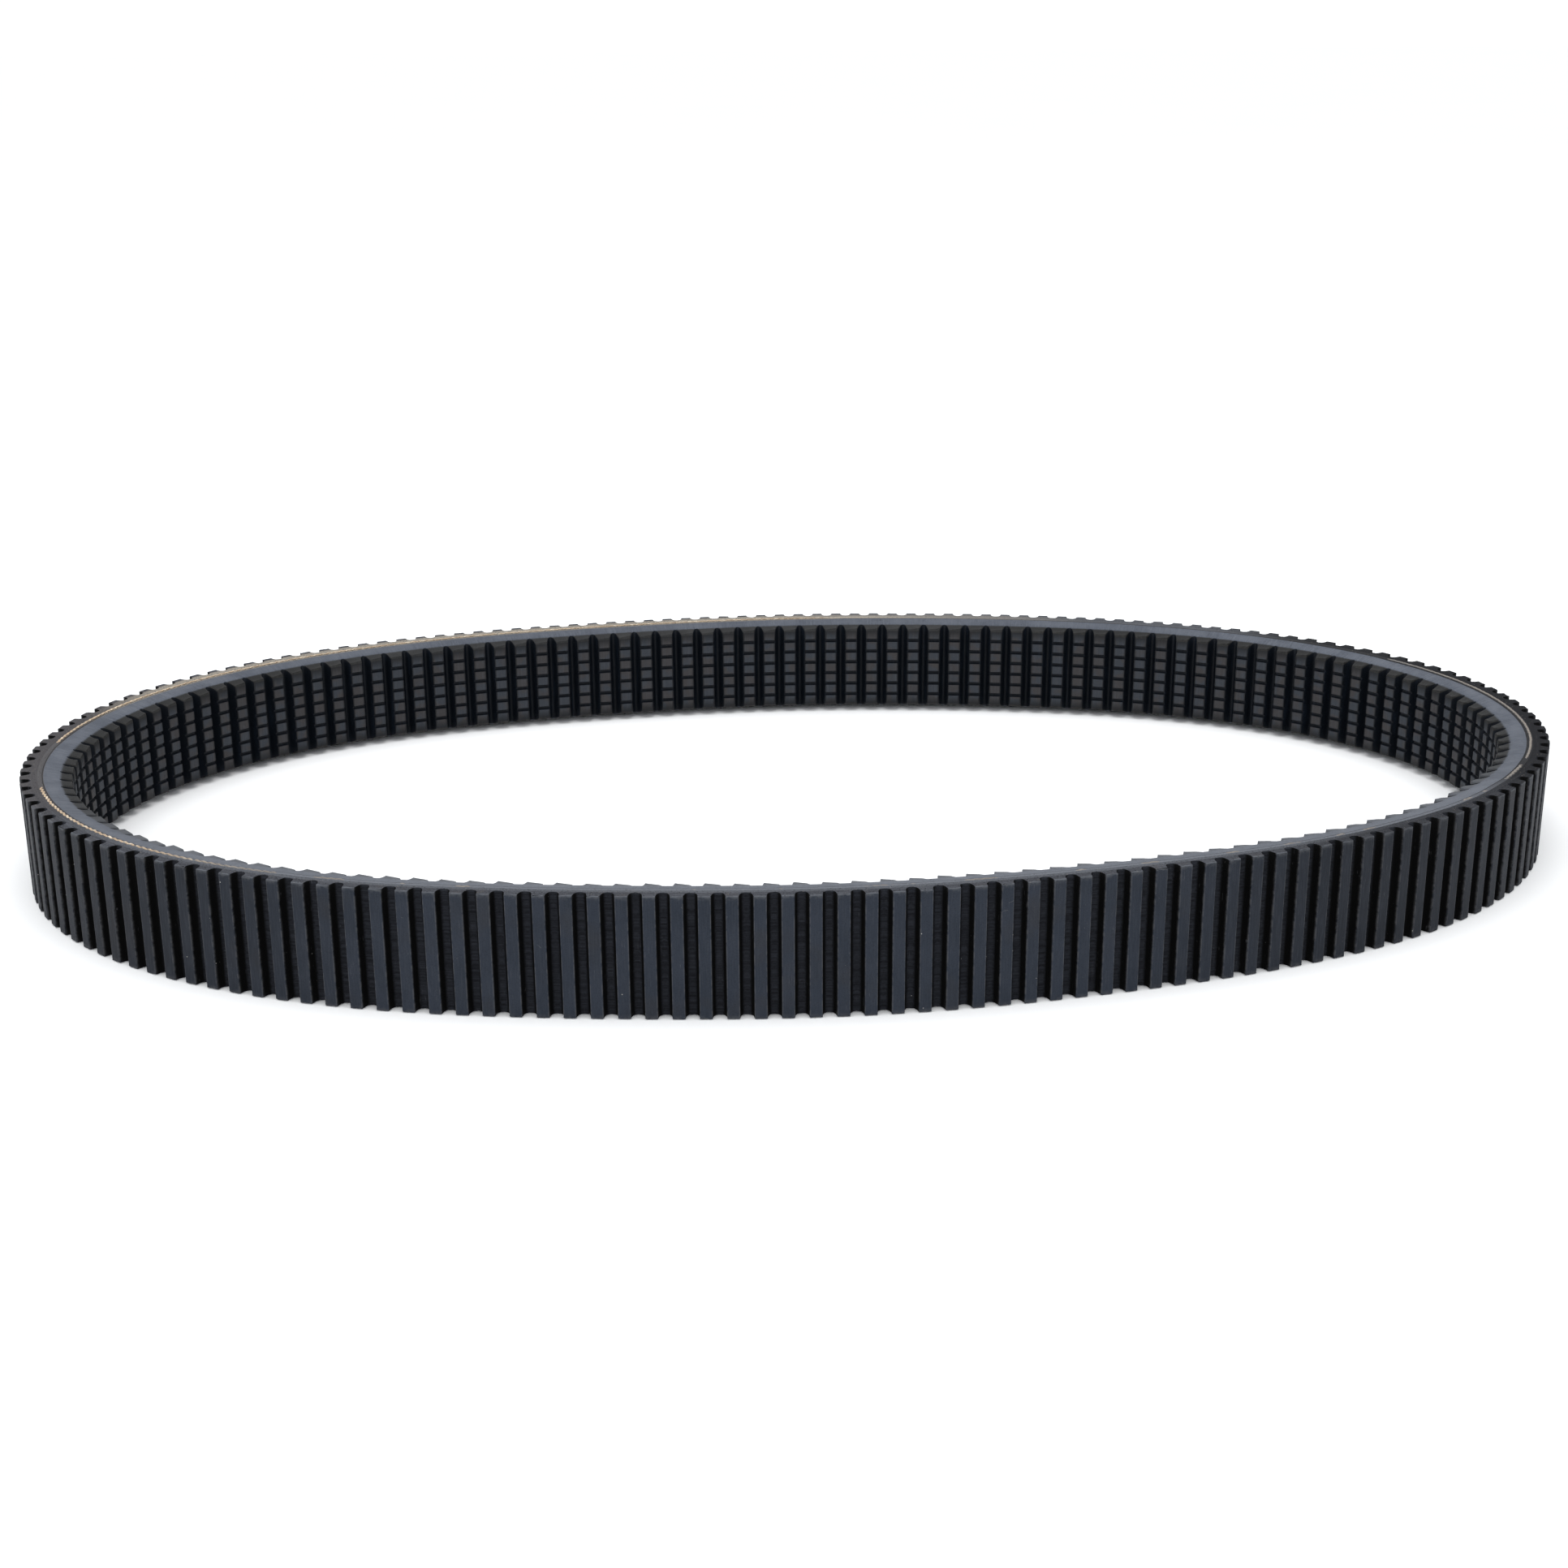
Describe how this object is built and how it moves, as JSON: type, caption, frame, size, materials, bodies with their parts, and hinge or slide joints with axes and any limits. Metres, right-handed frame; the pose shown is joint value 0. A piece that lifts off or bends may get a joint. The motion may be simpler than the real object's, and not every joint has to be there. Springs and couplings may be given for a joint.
{
  "type": "variable-speed v-belt",
  "caption": "Raw-edge double-cogged V-belt for a variable-speed drive: an oval loop with wedge flanks, outer ribs, inner cogs and a wound tensile cord.",
  "frame": {"origin": "centre of the box round the rib tips, at the height of the lower edge that the belt lies on", "axes": "+Z across the belt's width, from the lower edge to the upper; +X along the loop's long direction; +Y across the loop"},
  "size_m": [0.4444, 0.2732, 0.032],
  "materials": {
    "back_rubber": "satin, finely scuffed",
    "cushion_gum": "matte cut edge",
    "cord": "matte twisted aramid",
    "compression_rubber": "satin ground flank"
  },
  "bodies": {
    "root": {"back_rubber_with_ribs": "back_rubber", "upper_cushion_gum": "cushion_gum", "tensile_cord": "cord", "lower_cushion_gum": "cushion_gum", "compression_rubber_with_cogs": "compression_rubber"}
  },
  "joints": []
}
